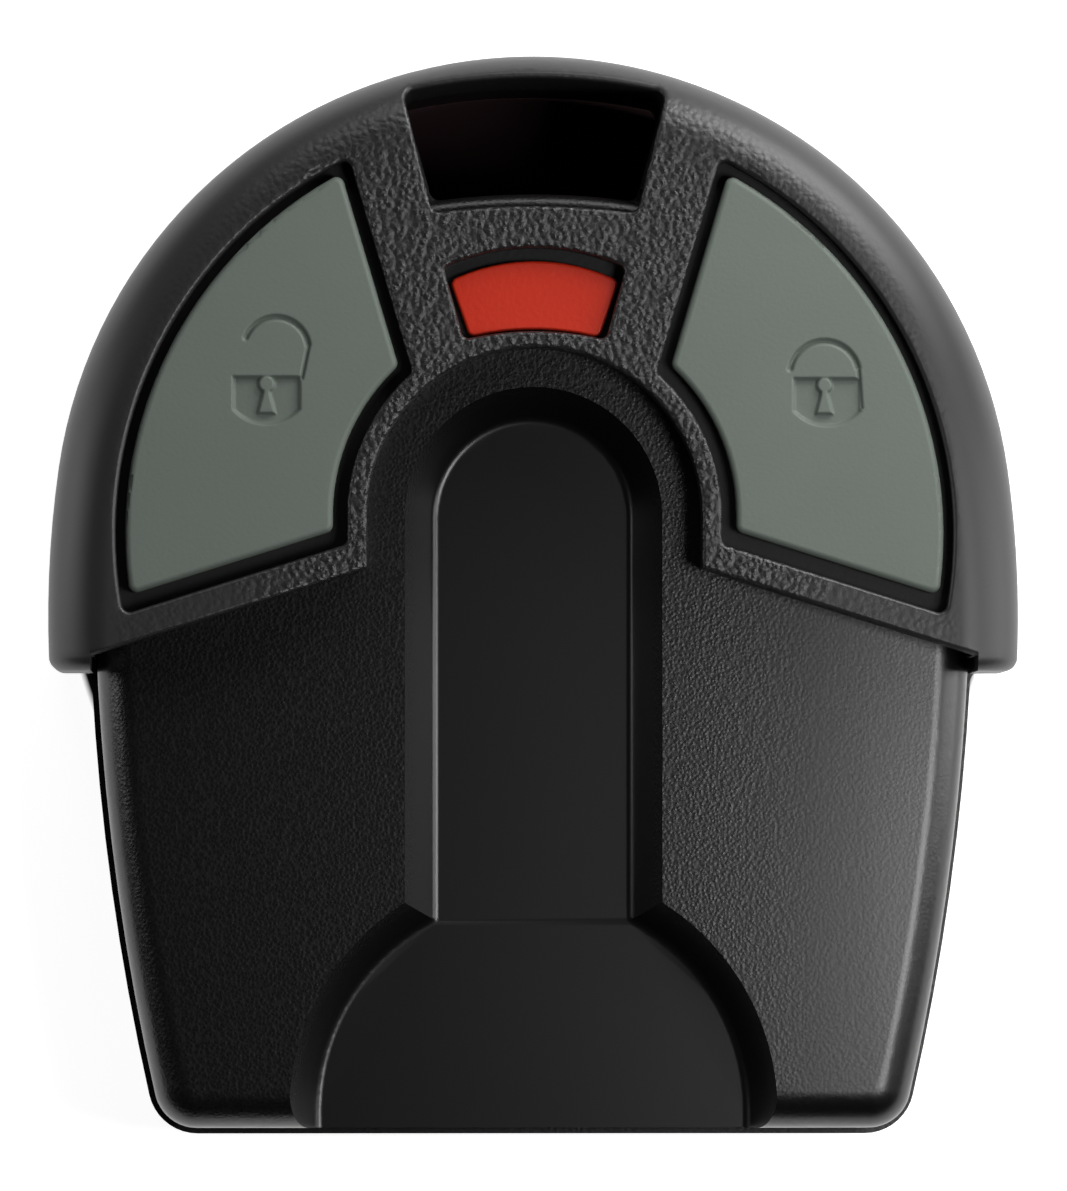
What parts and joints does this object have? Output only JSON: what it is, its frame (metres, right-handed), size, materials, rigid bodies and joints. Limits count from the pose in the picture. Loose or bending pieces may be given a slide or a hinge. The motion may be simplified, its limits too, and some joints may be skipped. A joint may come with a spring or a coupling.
{
  "type": "car key fob",
  "caption": "Round-headed car alarm remote with sprung rubber keys, a ring slot and a bell-shaped channel that a key head docks into.",
  "frame": {"origin": "centre of the round head, on the flat back that the fob lies on", "axes": "+Z out of the face with the buttons, +Y towards the key-ring end along the length, X across the width"},
  "size_m": [0.0466, 0.0518, 0.014],
  "materials": {
    "hood_plastic": "leather-grained satin black ABS",
    "casing_plastic": "finely sparked satin black ABS",
    "grey_rubber": "soft-touch green-grey silicone",
    "red_rubber": "smooth red silicone",
    "black_rubber": "matt",
    "board_laminate": "green lacquered glass laminate",
    "switch_plastic": "moulded",
    "contact_steel": "nickel-plated spring steel",
    "cell_steel": "satin pressed can",
    "chip_resin": "moulded resin",
    "can_steel": "bright drawn can",
    "aerial_metal": "stamped strip",
    "capacitor_ceramic": "fired",
    "resistor_ceramic": "glazed",
    "screw_steel": "zinc-plated"
  },
  "bodies": {
    "casing": {"rear_cover": "casing_plastic", "front_cover": "casing_plastic", "hood": "hood_plastic", "lock_seal": "black_rubber", "unlock_seal": "black_rubber", "circuit_board": "board_laminate", "lock_switch_base": "switch_plastic", "lock_switch_cover": "contact_steel", "unlock_switch_base": "switch_plastic", "unlock_switch_cover": "contact_steel", "alarm_switch_base": "switch_plastic", "alarm_switch_cover": "contact_steel", "coin_cell": "cell_steel", "positive_contact": "contact_steel", "negative_contact": "contact_steel", "controller_chip": "chip_resin", "resonator_can": "can_steel", "crystal": "can_steel", "aerial_loop": "aerial_metal", "transistor": "chip_resin", "capacitors": "capacitor_ceramic", "resistors": "resistor_ceramic", "foot_screws": "screw_steel", "hood_screws": "screw_steel"},
    "lock_key": {"lock_button": "grey_rubber"},
    "lock_stem": {"lock_plunger": "switch_plastic"},
    "unlock_key": {"unlock_button": "grey_rubber"},
    "unlock_stem": {"unlock_plunger": "switch_plastic"},
    "alarm_key": {"alarm_button": "red_rubber"},
    "alarm_stem": {"alarm_plunger": "switch_plastic"}
  },
  "joints": [
    {"name": "lock_press", "type": "slide", "parent": "casing", "child": "lock_key", "axis": [0, 0, -1], "range_m": [0, 0.0005], "stiffness_N_per_m": 1500},
    {"name": "lock_click", "type": "slide", "parent": "casing", "child": "lock_stem", "axis": [0, 0, -1], "range_m": [0, 0.00025]},
    {"name": "unlock_press", "type": "slide", "parent": "casing", "child": "unlock_key", "axis": [0, 0, -1], "range_m": [0, 0.0005], "stiffness_N_per_m": 1500},
    {"name": "unlock_click", "type": "slide", "parent": "casing", "child": "unlock_stem", "axis": [0, 0, -1], "range_m": [0, 0.00025]},
    {"name": "alarm_press", "type": "slide", "parent": "casing", "child": "alarm_key", "axis": [0, 0, -1], "range_m": [0, 0.0005], "stiffness_N_per_m": 1500},
    {"name": "alarm_click", "type": "slide", "parent": "casing", "child": "alarm_stem", "axis": [0, 0, -1], "range_m": [0, 0.00025]}
  ],
  "couplings": [
    {"joint": "lock_click", "follows": "lock_press", "ratio": 0.5},
    {"joint": "unlock_click", "follows": "unlock_press", "ratio": 0.5},
    {"joint": "alarm_click", "follows": "alarm_press", "ratio": 0.5}
  ]
}
